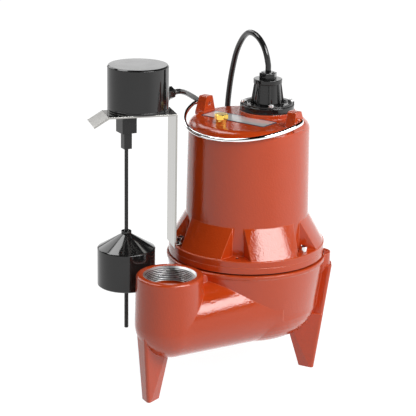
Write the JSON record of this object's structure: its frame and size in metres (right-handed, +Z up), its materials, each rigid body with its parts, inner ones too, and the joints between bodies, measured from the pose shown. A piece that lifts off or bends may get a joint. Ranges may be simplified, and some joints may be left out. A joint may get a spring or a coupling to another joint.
{
  "type": "submersible sump pump",
  "caption": "Submersible sump pump on cast legs with a side discharge elbow that points up, a swinging bail and a vertical float switch on a bracket.",
  "frame": {"origin": "on the floor under the middle of the footprint of pump and float switch, cords left out", "axes": "+Z up along the motor shaft and out of the discharge port, -X from the shaft towards the discharge port and the float switch, +Y away from the discharge side"},
  "size_m": [0.3527, 0.3119, 0.4014],
  "materials": {
    "paint": "gloss red-orange paint on cast iron",
    "gasket": "black sealing rubber",
    "screw_steel": "bright stainless steel",
    "brass": "machined brass",
    "black_plastic": "satin black moulded plastic",
    "core_steel": "laminated steel",
    "winding": "varnished copper wire",
    "pale_plastic": "pale moulded plastic",
    "shaft_steel": "ground steel",
    "seal_ceramic": "white ceramic",
    "raw_iron": "dark cast iron",
    "bail_steel": "polished stainless wire",
    "bracket_steel": "light stainless sheet",
    "grey_plastic": "grey moulded plastic",
    "rod_plastic": "black rod",
    "magnet": "sintered magnet",
    "cord_rubber": "black rubber cord sheath"
  },
  "bodies": {
    "pump": {"volute_casing": "paint", "volute_gasket": "gasket", "seal_plate": "paint", "housing_oring": "gasket", "motor_housing": "paint", "housing_bolts": "screw_steel", "oil_fill_plug": "brass", "cord_plate_gasket": "gasket", "cord_plate": "black_plastic", "cord_plate_screws": "screw_steel", "cord_nut": "black_plastic", "stator_core": "core_steel", "stator_windings": "winding", "thermal_protector": "pale_plastic", "capacitor_cradle": "pale_plastic", "run_capacitor": "pale_plastic", "upper_bearing": "shaft_steel", "lower_bearing": "shaft_steel", "seal_seat": "seal_ceramic", "switch_bracket": "bracket_steel", "switch_base": "black_plastic", "switch_housing": "black_plastic", "snap_switch": "grey_plastic", "switch_gland": "black_plastic", "rod_guide": "black_plastic", "power_cord": "cord_rubber", "power_cord_coil": "cord_rubber", "power_cord_ties": "cord_rubber", "power_cord_tail": "cord_rubber", "power_plug": "cord_rubber", "switch_cord": "cord_rubber", "switch_cord_coil": "cord_rubber", "switch_cord_ties": "cord_rubber", "switch_cord_tail": "cord_rubber", "piggyback_plug": "cord_rubber"},
    "rotor": {"motor_shaft": "shaft_steel", "rotor_core": "core_steel", "impeller": "raw_iron", "impeller_nut": "screw_steel", "seal_head": "shaft_steel"},
    "bail": {"bail_handle": "bail_steel"},
    "float": {"float_rod": "rod_plastic", "rod_magnet": "magnet", "switch_float": "black_plastic", "float_clips": "black_plastic"}
  },
  "joints": [
    {"name": "rotor_spin", "type": "hinge", "parent": "pump", "child": "rotor", "pos_m": [0.04687, -0.003, 0.2], "axis": [0, 0, 1], "continuous": true},
    {"name": "handle_swing", "type": "hinge", "parent": "pump", "child": "bail", "pos_m": [0.04687, -0.003, 0.316], "axis": [-0.4289, 0.9033, 0], "range_deg": [0, 115]},
    {"name": "float_slide", "type": "slide", "parent": "pump", "child": "float", "axis": [0, 0, 1], "range_m": [0, 0.026]}
  ]
}
